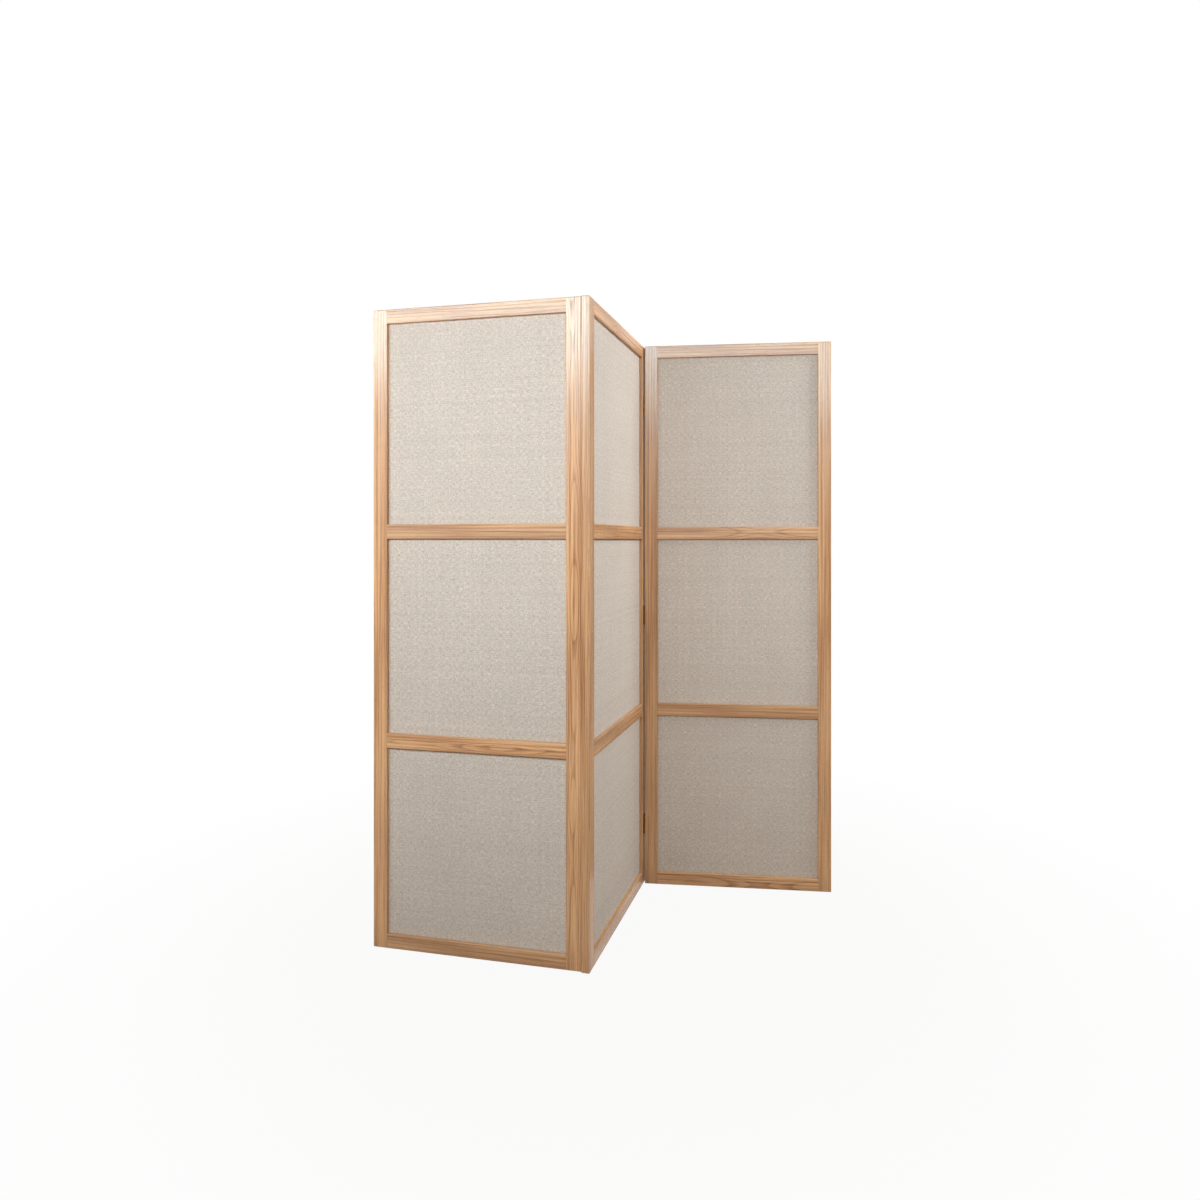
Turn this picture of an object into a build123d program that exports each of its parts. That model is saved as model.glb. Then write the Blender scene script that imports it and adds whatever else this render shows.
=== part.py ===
"""Folding screen of three hinged panels, standing in a zigzag.

Each panel is an oak frame of two stiles and four rails, joined by mortise and tenon, with a thin
board in the grooves of each of its three windows and linen on both faces of each board. The left
and the right panel each butt end on against a face of the middle panel and swing on three butt
hinges there, so the screen folds flat.

Frame: millimetres, +Z up, floor at Z = 0. The origin is under the centre of the middle panel.
The viewer of the front looks along +Y, with +X to the right.

In a panel's own frame, X runs along its width from its left end, Y from its front face to its
back face, and Z up. In a hinge's own frame the pin stands at the origin, X runs across the leaves
away from the knuckles, and the two leaves lie on either side of the XZ plane.
"""
import os
from build123d import *

# Panels
panel_width = 612.0
panel_height = 1800.0
frame_thickness = 24.0
stile_width = 42.0
top_rail_height = 40.0
middle_rail_height = 41.0
bottom_rail_height = 40.0
upper_rail_centre = 1174.0
lower_rail_centre = 584.5
outer_arris_radius = 2.5
window_arris_chamfer = 0.8
floor_arris_chamfer = 1.5

# Joinery of the frames
groove_depth = 8.0
tenon_thickness = 8.0
tenon_length = 28.0
tenon_clearance = 0.1

# Infill of the windows
board_thickness = 3.0
linen_thickness = 0.5
infill_clearance = 0.1
board_edge_clearance = 1.0

# Stance of the three panels: inner angle of each fold, and the middle panel's turn from +X
left_fold_angle = 92.0
right_fold_angle = 98.4
middle_panel_turn = 75.2
end_overhang = 4.0

# Butt hinges
hinge_height = 64.0
hinge_end_distance = 200.0
hinges_per_fold = 3
leaf_thickness = 1.4
leaf_width = 11.0
leaf_gap = 2.0
leaf_below_wood = 0.3
leaf_corner_radius = 2.0
leaf_inner_edge = 0.6
knuckle_radius = 2.3
knuckle_count = 3
knuckle_clearance = 0.2
pin_radius = 1.1
pin_running_clearance = 0.05
pin_end_past_knuckles = 0.4
mortise_clearance = 0.05
barrel_relief_clearance = 0.3

# Distance of each pin past the inner face of the panel that swings on it: the left pin stands
# outside that face, and the right one stands inside the fold
left_pin_outside = 2.5
right_pin_inside = 1.5

# How near an edge has to be to the place it is looked for at
place_tolerance = 0.01

# Sizes that follow
infill_thickness = board_thickness + 2 * linen_thickness
groove_width = infill_thickness + infill_clearance
rail_length = panel_width - 2 * stile_width
pin_off_let_in_face = leaf_gap / 2 - leaf_below_wood
pin_off_planted_face = leaf_gap / 2 + leaf_thickness
knuckle_height = hinge_height / knuckle_count

# Bottom and top of each window, from the top one down
windows = {
    "top": (upper_rail_centre + middle_rail_height / 2, panel_height - top_rail_height),
    "middle": (lower_rail_centre + middle_rail_height / 2, upper_rail_centre - middle_rail_height / 2),
    "bottom": (bottom_rail_height, lower_rail_centre - middle_rail_height / 2),
}

# Bottom and top of each rail
rails = {
    "top_rail": (panel_height - top_rail_height, panel_height),
    "upper_rail": (upper_rail_centre - middle_rail_height / 2, upper_rail_centre + middle_rail_height / 2),
    "lower_rail": (lower_rail_centre - middle_rail_height / 2, lower_rail_centre + middle_rail_height / 2),
    "bottom_rail": (0.0, bottom_rail_height),
}


def block(x, y, z):
    """A box between two values on each axis."""
    size = [high - low for low, high in (x, y, z)]
    middle = [(high + low) / 2 for low, high in (x, y, z)]
    return Pos(*middle) * Box(*size)


def centred(width):
    """The span of a groove, tenon or board of this width, in the middle of the frame's thickness."""
    return ((frame_thickness - width) / 2, (frame_thickness + width) / 2)


def on_line(edge, axis, **at):
    """Whether a straight edge runs along this axis, with its middle at the given X, Y or Z."""
    along = edge.geom_type == GeomType.LINE and abs(edge.tangent_at(0).dot(axis.direction)) > 0.99
    middle = edge.position_at(0.5)
    near = [abs(getattr(middle, name) - value) < place_tolerance for name, value in at.items()]
    return along and all(near)


def tenon(x, rail_span, clearance):
    """A rail's tenon, or with a clearance its mortise, over the given span of X."""
    low, high = rail_span
    return block(
        x,
        centred(tenon_thickness + 2 * clearance),
        (low + groove_depth - clearance, high - groove_depth + clearance),
    )


def stile():
    """A left-hand stile: its outer side is at X = 0 and its grooved side faces the windows."""
    body = block((0, stile_width), (0, frame_thickness), (0, panel_height))
    outer = [edge for edge in body.edges() if on_line(edge, Axis.Z, X=0)]
    outer += [edge for edge in body.edges() if on_line(edge, Axis.X, Z=panel_height)]
    outer += [edge for edge in body.edges() if on_line(edge, Axis.Y, X=0, Z=panel_height)]
    body = fillet(outer, outer_arris_radius)
    floor_edges = body.faces().sort_by(Axis.Z)[0].edges()
    body = chamfer(
        [edge for edge in floor_edges if not on_line(edge, Axis.Y, X=stile_width)],
        floor_arris_chamfer,
    )
    groove_ends = (windows["bottom"][0] - groove_depth, windows["top"][1] + groove_depth)
    body -= block((stile_width - groove_depth, stile_width), centred(groove_width), groove_ends)
    for low, high in windows.values():
        body -= window_easing(low, high)
    for span in rails.values():
        body -= tenon((stile_width - tenon_length - tenon_clearance, stile_width), span, tenon_clearance)
    return body


def window_easing(low, high):
    """What the chamfers of the window's two arrises take off the stile between two rails."""
    size = window_arris_chamfer
    corner = Polyline((stile_width - size, 0), (stile_width, 0), (stile_width, size), close=True)
    front = extrude(Pos(0, 0, low) * make_face(corner), high - low)
    return front + mirror(front, Plane.XZ.offset(-frame_thickness / 2))


def rail(name):
    """A rail with a tenon at each end, and a groove along each side that faces a window."""
    low, high = rails[name]
    x = (stile_width, stile_width + rail_length)
    body = block(x, (0, frame_thickness), (low, high))
    for side in (low, high):
        arrises = [edge for edge in body.edges() if on_line(edge, Axis.X, Z=side)]
        if side == panel_height:
            body = fillet(arrises, outer_arris_radius)
        elif side == 0:
            body = chamfer(arrises, floor_arris_chamfer)
        else:
            body = chamfer(arrises, window_arris_chamfer)
    grooves = ((low, low + groove_depth), (high - groove_depth, high))
    for groove in grooves:
        if groove[0] > 0 and groove[1] < panel_height:
            body -= block(x, centred(groove_width), groove)
    body += tenon((x[0] - tenon_length, x[0]), (low, high), 0)
    body += tenon((x[1], x[1] + tenon_length), (low, high), 0)
    return body


def infill(window):
    """The board of one window, and the two sheets of linen on its faces."""
    reach = groove_depth - board_edge_clearance
    x = (stile_width - reach, panel_width - stile_width + reach)
    z = (windows[window][0] - reach, windows[window][1] + reach)
    front, back = centred(board_thickness)
    board = block(x, (front, back), z)
    front_sheet = block(x, (front - linen_thickness, front), z)
    back_sheet = block(x, (back, back + linen_thickness), z)
    return board, Compound(children=[front_sheet, back_sheet])


def other_end(body):
    """The same stile at the right-hand end of the panel."""
    return mirror(body, Plane.YZ.offset(panel_width / 2))


def panel(name, left_stile, right_stile):
    """Every piece of one panel in the panel's own frame, by node name."""
    nodes = {
        f"{name}_{left_stile}_stile": stile(),
        f"{name}_{right_stile}_stile": other_end(stile()),
    }
    for rail_name in rails:
        nodes[f"{name}_{rail_name}"] = rail(rail_name)
    for window in windows:
        board, linen = infill(window)
        nodes[f"{name}_{window}_board"] = board
        nodes[f"{name}_{window}_linen"] = linen
    return nodes


def hinge_levels():
    """The height of each hinge's lower end, evenly spaced between the top and the bottom one."""
    lowest = hinge_end_distance - hinge_height / 2
    highest = panel_height - hinge_end_distance - hinge_height / 2
    step = (highest - lowest) / (hinges_per_fold - 1)
    return [lowest + step * index for index in range(hinges_per_fold)]


def post(radius, low, high):
    """A cylinder on the hinge's pin axis between two heights."""
    return Pos(0, 0, low) * Cylinder(radius, high - low, align=(Align.CENTER, Align.CENTER, Align.MIN))


def hinge_leaf(side, own):
    """One leaf, on the +Y side of the pin or the -Y side, with every second knuckle from number own."""
    near, far = leaf_gap / 2, leaf_gap / 2 + leaf_thickness
    plate = block((leaf_inner_edge, leaf_width), (near, far), (0, hinge_height))
    corners = [edge for edge in plate.edges() if on_line(edge, Axis.Y, X=leaf_width)]
    plate = fillet(corners, leaf_corner_radius)
    for number in range(knuckle_count):
        low = number * knuckle_height
        high = low + knuckle_height
        if number % 2 == own:
            plate += post(knuckle_radius, *shortened(number, low, high))
        else:
            notch = (low - knuckle_clearance / 2, high + knuckle_clearance / 2)
            plate -= block((0, knuckle_radius + knuckle_clearance), (0, far), notch)
    plate -= post(pin_radius + pin_running_clearance, 0, hinge_height)
    return plate if side > 0 else mirror(plate, Plane.XZ)


def shortened(number, low, high):
    """A knuckle's ends, drawn back by half the clearance where another knuckle meets it."""
    gap = knuckle_clearance / 2
    return (
        low + (gap if number > 0 else 0),
        high - (gap if number < knuckle_count - 1 else 0),
    )


def leaf_seat(side):
    """What a leaf that is let in takes out of its stile: its mortise, and room for the knuckles."""
    depth = leaf_gap / 2 + leaf_thickness + mortise_clearance
    ends = (-mortise_clearance, hinge_height + mortise_clearance)
    cut = block((0, leaf_width + mortise_clearance), (0, depth), ends)
    reach = pin_end_past_knuckles + barrel_relief_clearance
    cut += post(knuckle_radius + barrel_relief_clearance, -reach, hinge_height + reach)
    return cut if side > 0 else mirror(cut, Plane.XZ)


def hinge_pin():
    """The pin, which stands a little out of the knuckles at each end."""
    return post(pin_radius, -pin_end_past_knuckles, hinge_height + pin_end_past_knuckles)


class Fold:
    """One fold of the screen: where its pin stands in each panel, and how its leaves lie there.

    fixed is the place in the middle panel's frame and moving the place in the other panel's
    frame, each with the turn from the hinge's frame to the panel's frame.
    """

    def __init__(self, fixed, moving, angle):
        self.fixed = Pos(*fixed[:2]) * Rot(0, 0, fixed[2])
        self.moving = Pos(*moving[:2]) * Rot(0, 0, moving[2])
        self.panel_place = Pos(*fixed[:2]) * Rot(0, 0, angle - 180) * Pos(*moving[:2]).inverse()

    def at_each_hinge(self, place, shape):
        """Copies of a shape in the hinge's frame, one per hinge, in a panel's frame."""
        return [place * Pos(0, 0, level) * shape for level in hinge_levels()]

    def leaves(self, place, side):
        """All leaves on one side of the fold, in that panel's frame."""
        own = 1 if side > 0 else 0
        return Compound(children=self.at_each_hinge(place, hinge_leaf(side, own)))

    def seats(self, place, side):
        """The cuts for all leaves on one side of the fold, in that panel's frame."""
        return self.at_each_hinge(place, leaf_seat(side))

    def pins(self):
        """All pins of the fold, in the middle panel's frame."""
        return Compound(children=self.at_each_hinge(self.fixed, hinge_pin()))


left_fold = Fold(
    fixed=(end_overhang + frame_thickness + left_pin_outside, frame_thickness + pin_off_let_in_face, 180),
    moving=(panel_width + pin_off_let_in_face, frame_thickness + left_pin_outside, -90),
    angle=left_fold_angle,
)
right_fold = Fold(
    fixed=(panel_width - end_overhang - frame_thickness + right_pin_inside, -pin_off_planted_face, 0),
    moving=(-pin_off_planted_face, right_pin_inside, 90),
    angle=right_fold_angle,
)

middle_place = Rot(0, 0, middle_panel_turn) * Pos(-panel_width / 2, -frame_thickness / 2, 0)
places = {
    "left": middle_place * left_fold.panel_place,
    "middle": middle_place,
    "right": middle_place * right_fold.panel_place,
}
stile_names = {
    "left": ("outer", "hinge"),
    "middle": ("near", "far"),
    "right": ("hinge", "outer"),
}

panels = {name: panel(name, *stile_names[name]) for name in places}

# The leaves of the left fold are let in a little below the wood, and those of the right fold
# lie on it
for cut in left_fold.seats(left_fold.moving, -1):
    panels["left"]["left_hinge_stile"] -= cut
for cut in left_fold.seats(left_fold.fixed, 1):
    panels["middle"]["middle_near_stile"] -= cut

panels["left"]["left_fold_left_leaves"] = left_fold.leaves(left_fold.moving, -1)
panels["middle"]["left_fold_middle_leaves"] = left_fold.leaves(left_fold.fixed, 1)
panels["middle"]["left_fold_pins"] = left_fold.pins()
panels["middle"]["right_fold_middle_leaves"] = right_fold.leaves(right_fold.fixed, 1)
panels["right"]["right_fold_right_leaves"] = right_fold.leaves(right_fold.moving, -1)
panels["middle"]["right_fold_pins"] = right_fold.pins()

os.makedirs("parts", exist_ok=True)
for name, nodes in panels.items():
    for node, shape in nodes.items():
        export_step(places[name] * shape, f"parts/{node}.step")

for title, fold in (("left", left_fold), ("right", right_fold)):
    pin_place = (middle_place * fold.fixed).position
    print(f"{title} fold pin at X {pin_place.X:.4f} Y {pin_place.Y:.4f}")
for name, place in places.items():
    corner = (place * Pos(0, 0, 0)).position
    print(f"{name} panel's left front corner at X {corner.X:.3f} Y {corner.Y:.3f}, turn {place.orientation.Z:.3f}")
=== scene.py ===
"""Looks of a folding screen of three hinged panels: oak frames, linen windows, brass hinges.

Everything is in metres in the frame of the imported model. In a panel's own frame, X runs along its
width from its left end, Y from its front face to its back face, and Z up.
"""

from math import radians

import bpy
import numpy as np
from mathutils import Matrix, Vector


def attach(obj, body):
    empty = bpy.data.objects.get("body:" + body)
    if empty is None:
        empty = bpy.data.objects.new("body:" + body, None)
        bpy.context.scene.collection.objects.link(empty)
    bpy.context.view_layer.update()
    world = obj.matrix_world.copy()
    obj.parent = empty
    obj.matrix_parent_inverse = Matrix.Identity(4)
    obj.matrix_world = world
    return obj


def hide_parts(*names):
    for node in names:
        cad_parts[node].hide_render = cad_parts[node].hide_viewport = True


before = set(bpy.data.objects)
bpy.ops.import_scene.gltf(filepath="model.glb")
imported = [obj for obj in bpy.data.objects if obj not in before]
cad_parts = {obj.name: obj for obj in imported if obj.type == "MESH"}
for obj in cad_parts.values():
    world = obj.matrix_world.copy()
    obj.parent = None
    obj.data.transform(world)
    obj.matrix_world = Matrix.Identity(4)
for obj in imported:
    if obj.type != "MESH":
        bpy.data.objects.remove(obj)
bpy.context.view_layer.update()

# Each panel's left front corner on the floor, and its turn about +Z in degrees
PANEL_PLACES = {
    "left": ((-0.685999, -0.153214), -12.8),
    "middle": ((-0.066565, -0.298913), 75.2),
    "right": ((0.087537, 0.264791), -6.4),
}
PANEL_WIDTH = 0.612
PANEL_HEIGHT = 1.8
FRAME_THICKNESS = 0.024
STILE_WIDTH = 0.042

# Bottom and top of each window and of each rail
WINDOWS = {"top": (1.1945, 1.76), "middle": (0.605, 1.1535), "bottom": (0.04, 0.564)}
RAILS = {
    "top_rail": (1.76, 1.8),
    "upper_rail": (1.1535, 1.1945),
    "lower_rail": (0.564, 0.605),
    "bottom_rail": (0.0, 0.04),
}
STILES = {
    "left": ("outer", "hinge"),
    "middle": ("near", "far"),
    "right": ("hinge", "outer"),
}

# The linen is cut to the board, whose edges stand in the grooves of the frame
LINEN_IN_GROOVE = 0.007
LINEN_THICKNESS = 0.0005
LINEN_FRONT = 0.010
LINEN_BACK = 0.014
LINEN_UNEVENNESS = 0.00012

# For each piece of screw heads: its panel, the place and turn of its pin in the panel's own frame,
# and the side of the pin on which the leaf's face lies
HINGE_SIDES = {
    "left_fold_middle_screws": ("middle", (0.0305, 0.0247), 180, 1),
    "left_fold_left_screws": ("left", (0.6127, 0.0265), -90, -1),
    "right_fold_middle_screws": ("middle", (0.5855, -0.0024), 0, 1),
    "right_fold_right_screws": ("right", (-0.0024, 0.0015), 90, -1),
}
HINGE_BOTTOMS = (0.168, 0.868, 1.568)
HINGE_HEIGHT = 0.064
LEAF_FACE_OFF_PIN = 0.001
SCREW_FROM_PIN = 0.00665
SCREW_FROM_MIDDLE = 0.019
SCREW_HEAD_RADIUS = 0.0024
SCREW_HEAD_RIM = 0.0001
SCREW_HEAD_CROWN = 0.0002
SCREW_HEAD_UNDER = 0.0003
SCREW_SLOT_HALF_WIDTH = 0.00035
SCREW_SLOT_DEPTH = 0.00018
SCREW_SLOT_WALL = 0.99  # share of the half width where the slot's floor ends


def panel_matrix(name):
    """The place of a panel's own frame."""
    (x, y), turn = PANEL_PLACES[name]
    return Matrix.Translation((x, y, 0)) @ Matrix.Rotation(radians(turn), 4, "Z")


def linear(red, green, blue):
    """A colour given as 0 to 255 on screen, as the linear values that shaders take."""
    values = np.array([red, green, blue]) / 255
    low, high = values / 12.92, ((values + 0.055) / 1.055) ** 2.4
    return (*np.where(values <= 0.04045, low, high).tolist(), 1.0)


# Camera: a level view along +Y, shifted to frame the screen as photographed
camera_data = bpy.data.cameras.new("camera")
camera_data.sensor_width = 36
camera_data.lens = 24.08
camera_data.shift_x = -0.0287
camera_data.shift_y = -0.0493
camera = bpy.data.objects.new("camera", camera_data)
camera.location = (0.0527, -2.4253, 1.1482)
camera.rotation_euler = (radians(90), 0, 0)
bpy.context.scene.collection.objects.link(camera)
bpy.context.scene.camera = camera
bpy.context.scene.view_settings.view_transform = "Standard"


# Building blocks of the shaders
def connect(tree, value, socket):
    """Links an output to a socket, or sets the socket to a plain value."""
    if isinstance(value, bpy.types.NodeSocket):
        tree.links.new(value, socket)
    else:
        socket.default_value = value


def maths(tree, operation, *values, clamp=False):
    """The output of a Math node."""
    node = tree.nodes.new("ShaderNodeMath")
    node.operation = operation
    node.use_clamp = clamp
    for value, socket in zip(values, node.inputs):
        connect(tree, value, socket)
    return node.outputs[0]


def blend_colours(tree, share, first, second, mode="MIX"):
    """The colour output of a Mix node."""
    node = tree.nodes.new("ShaderNodeMix")
    node.data_type = "RGBA"
    node.blend_type = mode
    connect(tree, share, node.inputs["Factor"])
    connect(tree, first, node.inputs[6])
    connect(tree, second, node.inputs[7])
    return node.outputs[2]


def stretched(tree, vector, scale):
    """A vector times a scale on each axis."""
    node = tree.nodes.new("ShaderNodeVectorMath")
    node.operation = "MULTIPLY"
    connect(tree, vector, node.inputs[0])
    node.inputs[1].default_value = scale
    return node.outputs[0]


def noise(tree, vector, scale, detail=2.0, roughness=0.5):
    """Noise from 0 to 1 about 0.5, with its own scale on each axis."""
    node = tree.nodes.new("ShaderNodeTexNoise")
    node.inputs["Scale"].default_value = 1.0
    node.inputs["Detail"].default_value = detail
    node.inputs["Roughness"].default_value = roughness
    connect(tree, stretched(tree, vector, scale), node.inputs["Vector"])
    return node.outputs["Fac"]


def noise_along(tree, value, scale, start):
    """Noise from 0 to 1 that depends on one value only."""
    node = tree.nodes.new("ShaderNodeTexNoise")
    node.noise_dimensions = "1D"
    node.inputs["Scale"].default_value = scale
    connect(tree, maths(tree, "ADD", value, start), node.inputs["W"])
    return node.outputs["Fac"]


def random_for(tree, number, start):
    """A random value from 0 to 1 for each whole number."""
    node = tree.nodes.new("ShaderNodeTexWhiteNoise")
    node.noise_dimensions = "1D"
    connect(tree, maths(tree, "ADD", number, start), node.inputs["W"])
    return node.outputs["Value"]


def step_up(tree, value, low, high):
    """0 below low and 1 above high, smooth in between."""
    node = tree.nodes.new("ShaderNodeMapRange")
    node.interpolation_type = "SMOOTHSTEP"
    connect(tree, value, node.inputs["Value"])
    node.inputs["From Min"].default_value = low
    node.inputs["From Max"].default_value = high
    return node.outputs["Result"]


def varied(tree, value, amount):
    """1 plus amount times how far a noise value is from its middle."""
    return maths(tree, "MULTIPLY_ADD", maths(tree, "SUBTRACT", value, 0.5), amount, 1.0)


def parts_of(tree, vector):
    """The three values of a vector."""
    node = tree.nodes.new("ShaderNodeSeparateXYZ")
    connect(tree, vector, node.inputs[0])
    return node.outputs[0], node.outputs[1], node.outputs[2]


def vector_of(tree, *values):
    """A vector of three values."""
    node = tree.nodes.new("ShaderNodeCombineXYZ")
    for value, socket in zip(values, node.inputs):
        connect(tree, value, socket)
    return node.outputs[0]


def scaled_colour(tree, colour, value):
    """A colour times one value."""
    return blend_colours(tree, 1.0, colour, vector_of(tree, value, value, value), "MULTIPLY")


def length_of(tree, x, y):
    """The length of a vector of two values."""
    squares = maths(tree, "ADD", maths(tree, "POWER", x, 2.0), maths(tree, "POWER", y, 2.0))
    return maths(tree, "SQRT", squares)


def new_group(name, inputs, outputs):
    """A shader node group with these sockets, and its input and output nodes."""
    group = bpy.data.node_groups.new(name, "ShaderNodeTree")
    for title, kind, value in inputs:
        socket = group.interface.new_socket(title, in_out="INPUT", socket_type=kind)
        if value is not None:
            socket.default_value = value
    for title, kind in outputs:
        group.interface.new_socket(title, in_out="OUTPUT", socket_type=kind)
    given = group.nodes.new("NodeGroupInput").outputs
    return group, given, group.nodes.new("NodeGroupOutput").inputs


FLOAT, COLOUR, VECTOR = "NodeSocketFloat", "NodeSocketColor", "NodeSocketVector"
FINISH = [("Color", COLOUR), ("Roughness", FLOAT), ("Height", FLOAT)]

OAK_PALE, OAK_DARK = linear(222, 176, 129), linear(146, 92, 54)
LINEN_WARP, LINEN_WEFT = linear(214, 205, 194), linear(205, 194, 182)
VENEER_PALE, VENEER_DARK = linear(226, 205, 172), linear(190, 160, 120)
HINGE_BRIGHT, HINGE_DARK = linear(122, 88, 54), linear(58, 40, 26)
SCREW_BRIGHT, SCREW_DARK = linear(150, 112, 70), linear(72, 50, 32)

# Depth of each finish's relief
OAK_RELIEF = 0.00012
LINEN_RELIEF = 0.00022
VENEER_RELIEF = 0.00005
HINGE_RELIEF = 0.00004
SCREW_RELIEF = 0.00003


def oak_group():
    """Oak in a member's own frame, Z along its grain.

    The rings are shells about a heart line that wanders along the grain: ring number is the
    distance to that line, plus a little waviness, divided by the ring width. Each ring starts
    with a dark porous band and fades to dense paler wood. Streaks, fibres and pores are noise
    drawn out along the grain.
    """
    group, given, out = new_group(
        "oak_grain",
        [
            ("Vector", VECTOR, None),
            ("Heart X", FLOAT, 0.08),
            ("Heart Y", FLOAT, 0.05),
            ("Ring width", FLOAT, 0.0028),
            ("Tone", FLOAT, 0.0),
            ("Half length", FLOAT, 10.0),
        ],
        FINISH,
    )
    at = given["Vector"]
    x, y, z = parts_of(group, at)
    wander_x = maths(group, "MULTIPLY_ADD", noise_along(group, z, 1.4, 3.1), 0.024, -0.012)
    wander_y = maths(group, "MULTIPLY_ADD", noise_along(group, z, 1.1, 8.7), 0.040, -0.020)
    off_x = maths(group, "SUBTRACT", x, maths(group, "ADD", given["Heart X"], wander_x))
    off_y = maths(group, "SUBTRACT", y, maths(group, "ADD", given["Heart Y"], wander_y))
    distance = length_of(group, off_x, off_y)
    waviness = maths(group, "MULTIPLY_ADD", noise(group, at, (55, 55, 5), 3), 0.0030, -0.0015)
    distance = maths(group, "ADD", distance, waviness)
    uneven = maths(group, "MULTIPLY", noise_along(group, distance, 120, 1.7), 1.6)
    ring = maths(group, "ADD", maths(group, "DIVIDE", distance, given["Ring width"]), uneven)
    part = maths(group, "FRACT", ring)
    fading = maths(group, "MULTIPLY_ADD", part, -1.8, 1.0, clamp=True)
    starting = maths(group, "MULTIPLY_ADD", part, 10.0, -9.0, clamp=True)
    porous = maths(group, "MAXIMUM", fading, starting)

    streaks = noise(group, at, (290, 290, 3.6), 5, 0.65)
    fibres = noise(group, at, (1500, 1500, 34), 3, 0.6)
    bands = noise(group, at, (75, 75, 1.3), 3, 0.6)
    clouds = noise(group, at, (14, 14, 3.0), 2)
    ticks = step_up(group, noise(group, at, (2300, 2300, 75), 1), 0.57, 0.70)
    pores = maths(group, "MULTIPLY", ticks, maths(group, "MULTIPLY_ADD", porous, 0.75, 0.25))

    dark_share = maths(group, "MULTIPLY", porous, 0.42)
    for value, amount in ((streaks, 1.9), (fibres, 0.5), (bands, 1.5), (clouds, 0.6)):
        off_middle = maths(group, "SUBTRACT", value, 0.5)
        dark_share = maths(group, "MULTIPLY_ADD", off_middle, amount, dark_share)
    dark_share = maths(group, "ADD", dark_share, 0.24, clamp=True)
    colour = blend_colours(group, dark_share, OAK_PALE, OAK_DARK)
    colour = scaled_colour(group, colour, maths(group, "MULTIPLY_ADD", pores, -0.42, 1.0))
    colour = scaled_colour(group, colour, maths(group, "MULTIPLY_ADD", given["Tone"], 0.10, 1.0))
    to_end = maths(group, "SUBTRACT", given["Half length"], maths(group, "ABSOLUTE", z))
    joint = step_up(group, to_end, 0.0001, 0.0007)
    colour = scaled_colour(group, colour, maths(group, "MULTIPLY_ADD", joint, 0.55, 0.45))
    connect(group, colour, out["Color"])

    roughness = maths(group, "MULTIPLY_ADD", porous, 0.08, 0.22)
    connect(group, maths(group, "MULTIPLY_ADD", fibres, 0.10, roughness), out["Roughness"])
    height = maths(group, "MULTIPLY_ADD", pores, -0.8, maths(group, "MULTIPLY", fibres, 0.35))
    connect(group, maths(group, "MULTIPLY_ADD", porous, -0.20, height), out["Height"])
    return group


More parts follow.
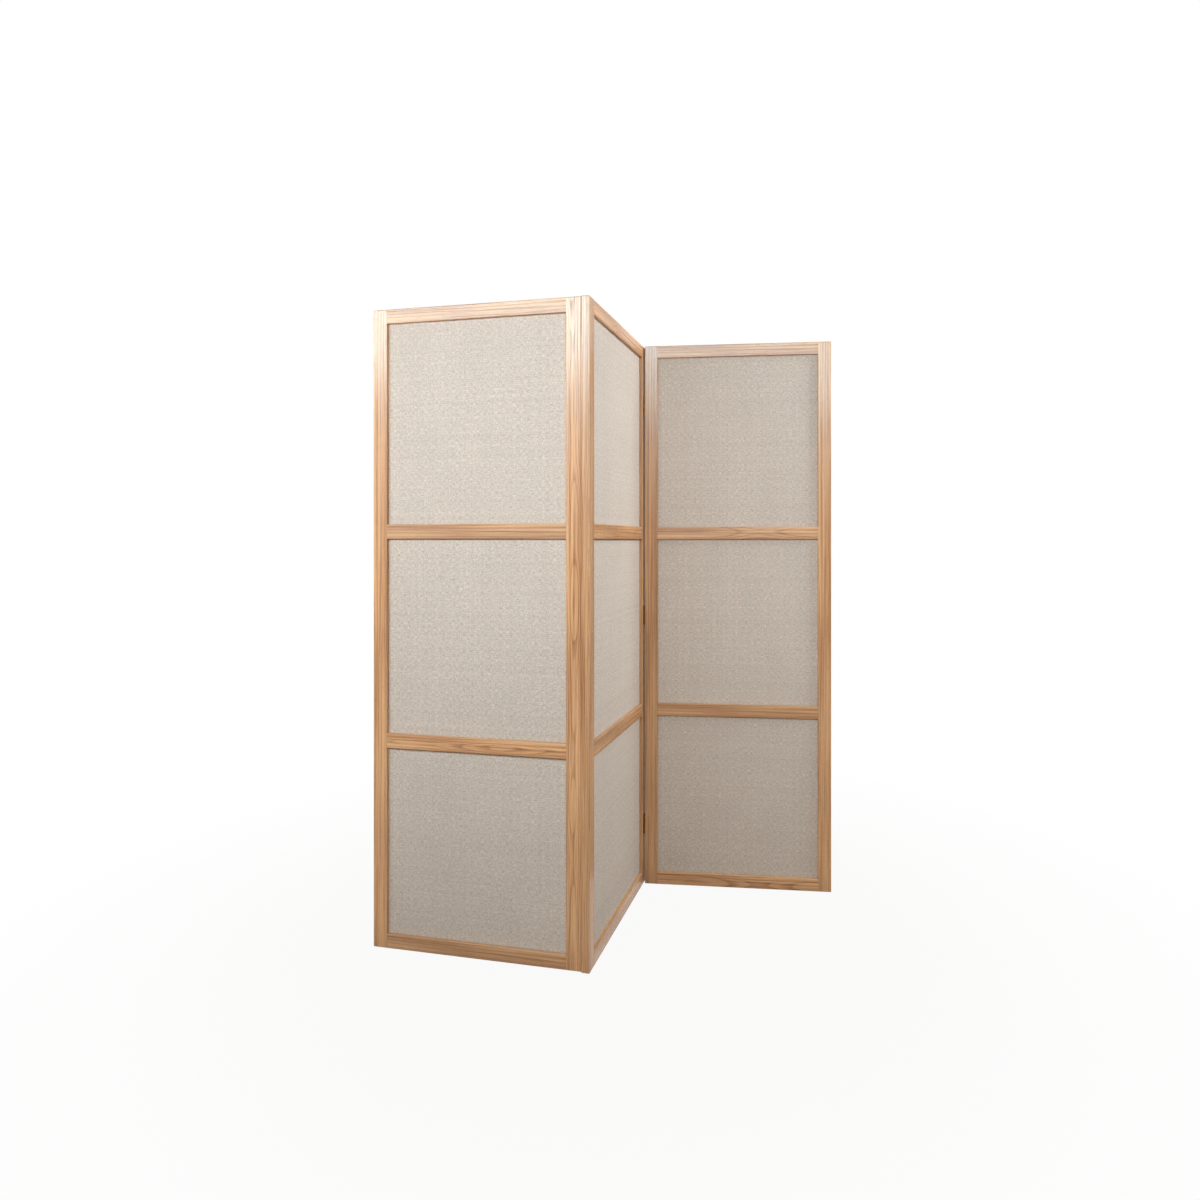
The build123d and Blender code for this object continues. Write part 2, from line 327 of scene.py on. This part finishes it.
def linen_group():
    """Plain-woven linen from its own map, whose unit is a metre.

    Thread numbers are the map's values divided by the thread pitch, bent a little by noise. The
    warp lies on top where the sum of the two thread numbers is even. A thread's height is the
    sine across it, times the sine along it between its crossings. Each thread has its own tone,
    and slubs are noise drawn out along it.
    """
    group, given, out = new_group(
        "linen_weave",
        [
            ("Vector", VECTOR, None),
            ("Warp pitch", FLOAT, 0.00086),
            ("Weft pitch", FLOAT, 0.00098),
        ],
        FINISH,
    )
    at = given["Vector"]
    x, y, _ = parts_of(group, at)
    bend_x = maths(group, "MULTIPLY_ADD", noise(group, at, (60, 16, 1), 2), 1.6, -0.8)
    bend_y = maths(group, "MULTIPLY_ADD", noise(group, at, (16, 60, 1), 2), 1.6, -0.8)
    warp = maths(group, "ADD", maths(group, "DIVIDE", x, given["Warp pitch"]), bend_x)
    weft = maths(group, "ADD", maths(group, "DIVIDE", y, given["Weft pitch"]), bend_y)
    warp_number = maths(group, "FLOOR", warp)
    weft_number = maths(group, "FLOOR", weft)
    across_warp = maths(group, "SINE", maths(group, "MULTIPLY", maths(group, "FRACT", warp), np.pi))
    across_weft = maths(group, "SINE", maths(group, "MULTIPLY", maths(group, "FRACT", weft), np.pi))
    numbers = maths(group, "ADD", warp_number, weft_number)
    under = maths(group, "FLOORED_MODULO", numbers, 2.0)
    over = maths(group, "SUBTRACT", 1.0, under)

    along_warp = vector_of(group, maths(group, "MULTIPLY", warp_number, 7.3), y, 0.0)
    along_weft = vector_of(group, x, maths(group, "MULTIPLY", weft_number, 5.9), 3.0)
    warp_slub = noise(group, along_warp, (1, 70, 1), 2)
    weft_slub = noise(group, along_weft, (70, 1, 1), 2)
    warp_tone = maths(group, "MULTIPLY", varied(group, random_for(group, warp_number, 0.5), 0.16),
                      varied(group, warp_slub, 0.46))
    weft_tone = maths(group, "MULTIPLY", varied(group, random_for(group, weft_number, 900.5), 0.22),
                      varied(group, weft_slub, 0.60))
    warp_colour = scaled_colour(group, LINEN_WARP, warp_tone)
    weft_colour = scaled_colour(group, LINEN_WEFT, weft_tone)
    colour = blend_colours(group, under, warp_colour, weft_colour)

    drawn_up = noise(group, at, (600, 105, 1), 3, 0.65)
    drawn_across = noise(group, at, (95, 540, 1), 3, 0.65)
    mottle = noise(group, at, (330, 360, 1), 2)
    clouds = noise(group, at, (9, 7, 1), 2)
    for value, amount in ((drawn_up, 1.1), (drawn_across, 1.2), (mottle, 0.25), (clouds, 0.10)):
        colour = scaled_colour(group, colour, varied(group, value, amount))
    crown = maths(group, "ADD", maths(group, "MULTIPLY", over, across_warp),
                  maths(group, "MULTIPLY", under, across_weft))
    # Painted shade and light: the colour is darker where a thread dips between its neighbours and a
    # little lighter on its crown
    colour = scaled_colour(group, colour, maths(group, "MULTIPLY_ADD", crown, 0.22, 0.86))
    connect(group, colour, out["Color"])

    connect(group, maths(group, "MULTIPLY_ADD", crown, -0.08, 0.92), out["Roughness"])
    along = maths(group, "ADD", maths(group, "MULTIPLY", over, across_weft),
                  maths(group, "MULTIPLY", under, across_warp))
    rise = maths(group, "MULTIPLY", crown, maths(group, "MULTIPLY_ADD", along, 0.6, 0.4))
    fuller = maths(group, "ADD", maths(group, "MULTIPLY", over, warp_slub),
                   maths(group, "MULTIPLY", under, weft_slub))
    connect(group, maths(group, "MULTIPLY", rise, maths(group, "ADD", fuller, 0.5)), out["Height"])
    return group


def patina_group():
    """Aged metal: clouds of darker and browner tone, with fine scratches in the roughness."""
    group, given, out = new_group(
        "patina",
        [
            ("Vector", VECTOR, None),
            ("Bright", COLOUR, (1, 1, 1, 1)),
            ("Dark", COLOUR, (0, 0, 0, 1)),
        ],
        FINISH,
    )
    at = given["Vector"]
    clouds = noise(group, at, (240, 240, 240), 4, 0.6)
    specks = noise(group, at, (1600, 1600, 1600), 2)
    share = step_up(group, maths(group, "MULTIPLY_ADD", specks, 0.35, clouds), 0.45, 0.90)
    connect(group, blend_colours(group, share, given["Dark"], given["Bright"]), out["Color"])
    connect(group, maths(group, "MULTIPLY_ADD", share, -0.16, 0.50), out["Roughness"])
    height = maths(group, "ADD", clouds, maths(group, "MULTIPLY", specks, 0.4))
    connect(group, height, out["Height"])
    return group


def board_group():
    """Thin plywood: pale veneer with long faint streaks."""
    group, given, out = new_group("veneer", [("Vector", VECTOR, None)], FINISH)
    streaks = noise(group, given["Vector"], (90, 90, 3), 4, 0.6)
    specks = noise(group, given["Vector"], (700, 700, 60), 2)
    share = maths(group, "MULTIPLY", streaks, 0.7)
    share = maths(group, "MULTIPLY_ADD", specks, 0.3, share, clamp=True)
    connect(group, blend_colours(group, share, VENEER_PALE, VENEER_DARK), out["Color"])
    connect(group, maths(group, "MULTIPLY_ADD", specks, 0.1, 0.6), out["Roughness"])
    connect(group, share, out["Height"])
    return group


def finish_material(name, group, vector_from, bump, values=(), plain=()):
    """A material whose Principled shader takes colour, roughness and bump from a group.

    vector_from makes the group's vector in the new tree, bump is the depth of its height in
    metres, values are the group's own inputs, and plain are sockets set on the shader.
    """
    material = bpy.data.materials.new(name)
    material.use_nodes = True
    tree = material.node_tree
    shader = tree.nodes["Principled BSDF"]
    node = tree.nodes.new("ShaderNodeGroup")
    node.node_tree = group
    connect(tree, vector_from(tree), node.inputs["Vector"])
    for title, value in values:
        node.inputs[title].default_value = value
    relief = tree.nodes.new("ShaderNodeBump")
    relief.inputs["Distance"].default_value = bump
    relief.inputs["Strength"].default_value = 1.0
    tree.links.new(node.outputs["Height"], relief.inputs["Height"])
    tree.links.new(node.outputs["Color"], shader.inputs["Base Color"])
    tree.links.new(node.outputs["Roughness"], shader.inputs["Roughness"])
    tree.links.new(relief.outputs["Normal"], shader.inputs["Normal"])
    for title, value in plain:
        shader.inputs[title].default_value = value
    return material


def place_on_piece(to_piece):
    """Makes a vector in the piece's own frame from the object coordinates, by a Mapping node."""
    def build(tree):
        coordinates = tree.nodes.new("ShaderNodeTexCoord")
        mapping = tree.nodes.new("ShaderNodeMapping")
        mapping.inputs["Location"].default_value = to_piece.to_translation()
        mapping.inputs["Rotation"].default_value = to_piece.to_euler("XYZ")
        tree.links.new(coordinates.outputs["Object"], mapping.inputs["Vector"])
        return mapping.outputs["Vector"]
    return build


def linen_map(tree):
    """The linen's own map."""
    node = tree.nodes.new("ShaderNodeUVMap")
    node.uv_map = "weave"
    return node.outputs["UV"]


def dress(node, material):
    """Gives a CAD node one material."""
    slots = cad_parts[node].data.materials
    slots.clear()
    slots.append(material)


# The members cut near the heart, which show arched rings; the others have straight ones
ARCHED_MEMBERS = (
    "left_hinge_stile",
    "left_lower_rail",
    "middle_far_stile",
    "right_upper_rail",
    "right_bottom_rail",
)

oak = oak_group()
oak_luck = np.random.default_rng(41)


def oak_member(node, panel, centre, rotation, half_length):
    """Gives one stile or rail its own piece of oak.

    centre is the member's middle in the panel's own frame, and rotation takes its length to Z.
    The heart of the tree is under an arched member's face, and far beside the other members. The
    gloss spreads across the grain, so that of a rail is turned by a quarter.
    """
    to_member = rotation @ Matrix.Translation(-Vector(centre)) @ panel_matrix(panel).inverted()
    upright = rotation is UNTURNED
    arched = node in ARCHED_MEMBERS
    side = oak_luck.choice([-1, 1])
    heart_x = oak_luck.uniform(-0.006, 0.006) if arched else side * oak_luck.uniform(0.05, 0.12)
    heart_y = oak_luck.choice([-1, 1])
    heart_y = heart_y * (oak_luck.uniform(0.030, 0.045) if arched else oak_luck.uniform(0.01, 0.08))
    material = finish_material(
        f"oak_{node}",
        oak,
        place_on_piece(to_member),
        OAK_RELIEF,
        values=[
            ("Heart X", heart_x),
            ("Heart Y", heart_y),
            ("Ring width", oak_luck.uniform(0.0022, 0.0036)),
            ("Tone", oak_luck.uniform(-1, 1)),
            ("Half length", half_length),
        ],
        plain=[
            ("Specular IOR Level", 0.38),
            ("Anisotropic", 0.5),
            ("Anisotropic Rotation", 0.0 if upright else 0.25),
        ],
    )
    dress(node, material)


QUARTER = Matrix.Rotation(radians(-90), 4, "Y")
UNTURNED = Matrix.Identity(4)
NO_JOINT_LINE = 10.0  # a half length that keeps the joint line away from a stile
for panel, ends in STILES.items():
    for end, centre_x in zip(ends, (STILE_WIDTH / 2, PANEL_WIDTH - STILE_WIDTH / 2)):
        centre = (centre_x, FRAME_THICKNESS / 2, PANEL_HEIGHT / 2)
        oak_member(f"{panel}_{end}_stile", panel, centre, UNTURNED, NO_JOINT_LINE)
    for rail, (low, high) in RAILS.items():
        centre = (PANEL_WIDTH / 2, FRAME_THICKNESS / 2, (low + high) / 2)
        oak_member(f"{panel}_{rail}", panel, centre, QUARTER, PANEL_WIDTH / 2 - STILE_WIDTH)

veneer = board_group()
for panel in PANEL_PLACES:
    material = finish_material(
        f"board_{panel}", veneer, place_on_piece(panel_matrix(panel).inverted()), VENEER_RELIEF
    )
    for window in WINDOWS:
        dress(f"{panel}_{window}_board", material)

patina = patina_group()
METAL = [("Metallic", 1.0)]
hinge_brass = finish_material(
    "hinge_brass", patina, place_on_piece(UNTURNED), HINGE_RELIEF,
    values=[("Bright", HINGE_BRIGHT), ("Dark", HINGE_DARK)], plain=METAL,
)
screw_brass = finish_material(
    "screw_brass", patina, place_on_piece(UNTURNED), SCREW_RELIEF,
    values=[("Bright", SCREW_BRIGHT), ("Dark", SCREW_DARK)], plain=METAL,
)
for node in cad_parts:
    if node.endswith(("leaves", "pins")):
        dress(node, hinge_brass)


def grid_faces(rows, columns, first=0, closed=False):
    """Faces of a grid of points counted row by row, each one anticlockwise from outside.

    closed joins the last column to the first.
    """
    across = columns if closed else columns - 1
    row, column = np.meshgrid(np.arange(rows - 1), np.arange(across), indexing="ij")
    beside = (column + 1) % columns
    corners = [row * columns + column, row * columns + beside,
               (row + 1) * columns + beside, (row + 1) * columns + column]
    return first + np.stack(corners, -1).reshape(-1, 4)


def new_piece(name, points, faces, material, smooth=True):
    """A mesh object at the origin from an array of points and one of four-cornered faces."""
    mesh = bpy.data.meshes.new(name)
    mesh.from_pydata(points.tolist(), [], faces.tolist())
    mesh.polygons.foreach_set("use_smooth", np.full(len(mesh.polygons), smooth))
    mesh.materials.append(material)
    mesh.update()
    piece = bpy.data.objects.new(name, mesh)
    bpy.context.scene.collection.objects.link(piece)
    return piece


def in_place(matrix, points):
    """Points moved by a matrix, as a whole array."""
    turned = np.array(matrix.to_3x3())
    return points @ turned.T + np.array(matrix.to_translation())


# Linen
linen = finish_material(
    "linen", linen_group(), linen_map, LINEN_RELIEF,
    plain=[("Specular IOR Level", 0.2), ("Sheen Weight", 0.12)],
)
LINEN_COLUMNS, LINEN_ROWS = 44, 46

# How far apart the sheets lie on the bolt, four to a row, so that no two show the same threads
BOLT_STEP_U, BOLT_STEP_V = 0.61, 0.67
SHEETS_IN_ROW = 4
linen_luck = np.random.default_rng(7)


def linen_sheet(panel, window, face, number):
    """One stretched sheet, seen from its own side with u to the right and v up.

    The surface is flat apart from a faint unevenness: a sum of three long sine waves, faded to
    nothing at the frame by the product of the sines across the window. Solidify gives the cloth
    its thickness, on the board's side.
    """
    low, high = WINDOWS[window]
    bottom, top = low - LINEN_IN_GROOVE, high + LINEN_IN_GROOVE
    left, right = STILE_WIDTH - LINEN_IN_GROOVE, PANEL_WIDTH - STILE_WIDTH + LINEN_IN_GROOVE
    u, v = np.meshgrid(np.linspace(0, 1, LINEN_COLUMNS), np.linspace(0, 1, LINEN_ROWS))
    rise = np.zeros_like(u)
    for _ in range(3):
        waves_u, waves_v = linen_luck.uniform(0.5, 3), linen_luck.uniform(0.5, 3)
        phase = linen_luck.uniform(0, 6)
        rise += (1 + np.sin(2 * np.pi * (waves_u * u + waves_v * v) + phase)) / 6
    rise *= LINEN_UNEVENNESS * np.sin(np.pi * u) * np.sin(np.pi * v)
    front = face == "front"
    x = left + (right - left) * (u if front else 1 - u)
    y = LINEN_FRONT - rise if front else LINEN_BACK + rise
    z = bottom + (top - bottom) * v
    points = in_place(panel_matrix(panel), np.stack([x, y, z], -1).reshape(-1, 3))
    faces = grid_faces(LINEN_ROWS, LINEN_COLUMNS)
    piece = new_piece(f"{panel}_{window}_{face}_linen", points, faces, linen)
    width, height = right - left, top - bottom
    flat_u = u * width + BOLT_STEP_U * (number % SHEETS_IN_ROW)
    flat_v = v * height + BOLT_STEP_V * (number // SHEETS_IN_ROW)
    flat = np.stack([flat_u, flat_v], -1).reshape(-1, 2)
    corners = np.zeros(len(piece.data.loops), np.int32)
    piece.data.loops.foreach_get("vertex_index", corners)
    weave = piece.data.uv_layers.new(name="weave")
    weave.uv.foreach_set("vector", flat[corners].astype(np.float32).ravel())
    thick = piece.modifiers.new("thickness", "SOLIDIFY")
    thick.thickness = LINEN_THICKNESS
    thick.offset = -1
    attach(piece, f"{panel}_panel")
    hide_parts(f"{panel}_{window}_linen")


number = 0
for panel in PANEL_PLACES:
    for window in WINDOWS:
        for face in ("front", "back"):
            linen_sheet(panel, window, face, number)
            number += 1


# Screws of the hinges
def screw_head():
    """A slotted head on a flat leaf: a closed skin of loops, one for each line y across the disc.

    Each loop runs over the top at height crown times (1 minus the squared radius), less the slot
    between its two walls, and back underneath. The first and last loop shrink to a point.
    """
    slot = SCREW_SLOT_HALF_WIDTH
    beyond = np.linspace(slot, SCREW_HEAD_RADIUS, 7)
    inside = slot * SCREW_SLOT_WALL
    lines = np.concatenate([-beyond[::-1], [-inside, inside], beyond])
    half = np.sqrt(np.maximum(SCREW_HEAD_RADIUS**2 - lines**2, 0))
    t = np.linspace(-1, 1, 13)
    x = half[:, None] * t[None, :]
    y = np.broadcast_to(lines[:, None], x.shape)
    top = SCREW_HEAD_CROWN * (1 - (x**2 + y**2) / SCREW_HEAD_RADIUS**2) + SCREW_HEAD_RIM
    top = top - np.where(np.abs(y) < slot, SCREW_SLOT_DEPTH, 0)
    under = np.full_like(top, -SCREW_HEAD_UNDER)
    over_loop = np.stack([x, y, top], -1)
    under_loop = np.stack([-x, y, under], -1)
    points = np.concatenate([over_loop, under_loop], 1)
    rows, columns = points.shape[:2]
    return points.reshape(-1, 3), grid_faces(rows, columns, closed=True)


def screws(name, panel, pin, turn, side):
    """All screw heads of one side of a fold, on the faces of the leaves that meet."""
    heads, faces, count = [], [], 0
    head_points, head_faces = screw_head()
    hinge = panel_matrix(panel) @ Matrix.Translation((*pin, 0))
    hinge = hinge @ Matrix.Rotation(radians(turn), 4, "Z")
    lying = Matrix.Rotation(radians(90 * side), 4, "X")
    for bottom in HINGE_BOTTOMS:
        for above in (-SCREW_FROM_MIDDLE, SCREW_FROM_MIDDLE):
            level = bottom + HINGE_HEIGHT / 2 + above
            slot_turn = Matrix.Rotation(oak_luck.uniform(0, np.pi), 4, "Z")
            middle = Matrix.Translation((SCREW_FROM_PIN, side * LEAF_FACE_OFF_PIN, level))
            place = hinge @ middle @ lying @ slot_turn
            heads.append(in_place(place, head_points))
            faces.append(head_faces + count)
            count += len(head_points)
    piece = new_piece(name, np.concatenate(heads), np.concatenate(faces), screw_brass, smooth=False)
    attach(piece, f"{panel}_panel")


for name, (panel, pin, turn, side) in HINGE_SIDES.items():
    screws(name, panel, pin, turn, side)


# Floor, light and white surroundings
def white_to_the_eye(tree):
    """1 for the rays of the camera, of gloss and of clear things, which show the background."""
    rays = tree.nodes.new("ShaderNodeLightPath")
    seen = maths(tree, "ADD", rays.outputs["Is Camera Ray"], rays.outputs["Is Glossy Ray"])
    return maths(tree, "ADD", seen, rays.outputs["Is Transmission Ray"], clamp=True)


def floor_material():
    """A pale floor that shows white, and keeps a soft part of the shadow near the screen."""
    material = bpy.data.materials.new("floor")
    material.use_nodes = True
    tree = material.node_tree
    tree.nodes.remove(tree.nodes["Principled BSDF"])
    matt = tree.nodes.new("ShaderNodeBsdfDiffuse")
    matt.inputs["Color"].default_value = (0.26, 0.19, 0.12, 1)
    white = tree.nodes.new("ShaderNodeEmission")
    coordinates = tree.nodes.new("ShaderNodeTexCoord")
    x, y, _ = parts_of(tree, coordinates.outputs["Object"])
    far = length_of(tree, x, y)
    share = maths(tree, "MULTIPLY_ADD", step_up(tree, far, 0.4, 2.2), 0.06, 0.94)
    share = maths(tree, "MULTIPLY", share, white_to_the_eye(tree))
    mixed = tree.nodes.new("ShaderNodeMixShader")
    tree.links.new(share, mixed.inputs[0])
    tree.links.new(matt.outputs[0], mixed.inputs[1])
    tree.links.new(white.outputs[0], mixed.inputs[2])
    tree.links.new(mixed.outputs[0], tree.nodes["Material Output"].inputs["Surface"])
    return material


FLOOR_HALF = 12.0
FLOOR_BELOW = 0.0004
floor_points = np.array([(-1, -1, 0), (1, -1, 0), (1, 1, 0), (-1, 1, 0)]) * FLOOR_HALF
floor_points = floor_points + (0, 0, -FLOOR_BELOW)
floor = new_piece("floor", floor_points, np.array([(0, 1, 2, 3)]), floor_material(), smooth=False)

world = bpy.data.worlds.new("surroundings")
bpy.context.scene.world = world
world.use_nodes = True
sky = world.node_tree
ambient = sky.nodes["Background"]
ambient.inputs["Color"].default_value = (1.0, 0.94, 0.86, 1)
ambient.inputs["Strength"].default_value = 0.11
seen_white = sky.nodes.new("ShaderNodeBackground")
seen_white.inputs["Color"].default_value = (1, 1, 1, 1)
seen_white.inputs["Strength"].default_value = 1.0
either = sky.nodes.new("ShaderNodeMixShader")
sky.links.new(white_to_the_eye(sky), either.inputs[0])
sky.links.new(ambient.outputs[0], either.inputs[1])
sky.links.new(seen_white.outputs[0], either.inputs[2])
sky.links.new(either.outputs[0], sky.nodes["World Output"].inputs["Surface"])


def softbox(name, place, aim, size, power, colour, matt=True, gloss=True):
    """A flat light of a width and a height at a place, turned towards a point.

    matt and gloss say whether it lights matt surfaces and whether it shows in glossy ones.
    """
    light = bpy.data.lights.new(name, "AREA")
    light.shape = "RECTANGLE"
    light.size, light.size_y = size
    light.energy = power
    light.color = colour
    lamp = bpy.data.objects.new(name, light)
    lamp.location = place
    lamp.rotation_euler = (Vector(aim) - Vector(place)).to_track_quat("-Z", "Y").to_euler()
    lamp.visible_camera = False
    lamp.visible_diffuse = matt
    lamp.visible_glossy = gloss
    bpy.context.scene.collection.objects.link(lamp)


softbox(
    "front", (-0.8, -2.0, 1.75), (-0.1, 0.0, 1.5), (4.2, 0.9), 67, (0.97, 0.985, 1.0), gloss=False,
)
softbox(
    "veil", (-1.1, -2.6, 2.5), (-0.2, 0.0, 1.75), (4.8, 0.7), 240, (0.60, 0.88, 1.0), matt=False,
)
softbox("side", (2.2, -0.2, 2.2), (0.0, 0.0, 1.2), (1.2, 1.2), 50, (0.98, 0.99, 1.0))
softbox("back", (-1.3, 2.9, 2.3), (0.0, 0.0, 1.2), (2.4, 1.4), 90, (0.97, 0.985, 1.0))
